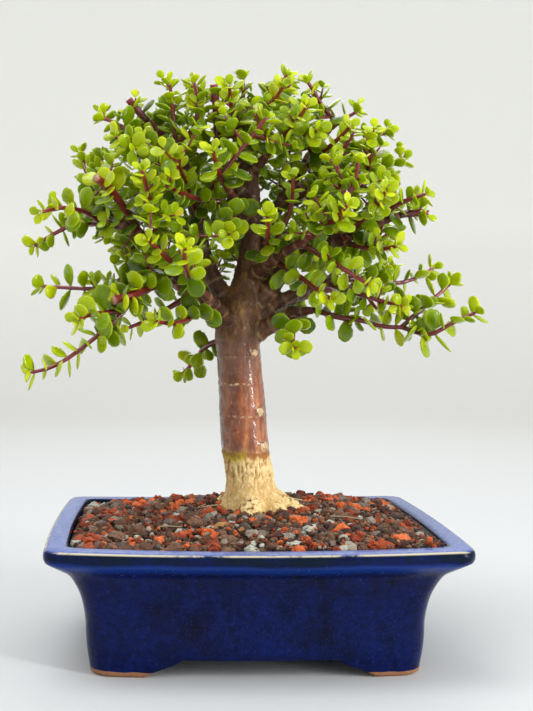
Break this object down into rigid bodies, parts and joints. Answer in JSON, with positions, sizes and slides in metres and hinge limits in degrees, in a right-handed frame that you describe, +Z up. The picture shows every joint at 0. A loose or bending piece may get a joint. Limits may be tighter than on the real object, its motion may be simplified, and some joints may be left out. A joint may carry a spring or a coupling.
{
  "type": "bonsai in a pot",
  "caption": "Small jade bonsai with a straight thick trunk and a dome of leafy limbs, growing in gritty soil in a blue glazed rectangular pot on corner feet.",
  "frame": {"origin": "under the middle of the whole object's box, on the plane that the pot's feet stand on", "axes": "+Z up, the pictured front faces -Y, +X to the right seen from the front"},
  "size_m": [0.3012, 0.2268, 0.3922],
  "materials": {
    "glaze": "deep cobalt gloss glaze, paler on the lip, bare tan clay under the feet",
    "grit": "loose mixed grit of red lava, grey pumice, dark grit and bark, matt",
    "bark": "satin red-brown bark, corky and tan near the soil",
    "leaf": "fleshy glossy green leaves, lime at the tips, on crimson-brown stems",
    "screen": "plain black plastic"
  },
  "bodies": {
    "root": {"pot": "glaze", "soil": "grit", "drain_screen_left": "screen", "drain_screen_right": "screen", "wood": "bark", "spray_low_left": "leaf", "spray_left_stub": "leaf", "spray_left": "leaf", "spray_left_end": "leaf", "spray_left_high": "leaf", "spray_left_crown": "leaf", "spray_high_left": "leaf", "spray_high_left_back": "leaf", "spray_mast_left": "leaf", "spray_thick_cut": "leaf", "spray_top": "leaf", "spray_top_right": "leaf", "spray_right_cut": "leaf", "spray_right_crown": "leaf", "spray_right_crown_front": "leaf", "spray_right_high": "leaf", "spray_right_fork": "leaf", "spray_right_tall": "leaf", "spray_right": "leaf", "spray_right_end": "leaf", "spray_right_low_front": "leaf", "spray_right_arm": "leaf", "spray_right_drop": "leaf", "spray_low_right": "leaf", "spray_behind_trunk": "leaf", "spray_front_left": "leaf", "spray_front_left_high": "leaf", "spray_front_left_low": "leaf", "spray_front_right": "leaf", "spray_front_middle": "leaf", "spray_front_right_low": "leaf", "spray_front_right_drop": "leaf", "spray_front_high": "leaf", "spray_front_left_mid": "leaf", "spray_front_low": "leaf", "spray_left_front": "leaf", "spray_crown_front": "leaf", "spray_top_front_right": "leaf", "spray_top_front": "leaf", "spray_right_droop": "leaf", "spray_right_front": "leaf", "spray_left_hang": "leaf", "spray_back_left": "leaf", "spray_back_left_in": "leaf", "spray_back_left_out": "leaf", "spray_back_right": "leaf", "spray_back_right_in": "leaf", "spray_back_middle": "leaf", "spray_back_top": "leaf", "spray_back_crown_left": "leaf", "spray_back_high_left": "leaf", "spray_back_crown_right": "leaf", "spray_back_low_right": "leaf", "spray_back_low": "leaf", "spray_back_right_out": "leaf"}
  },
  "joints": []
}
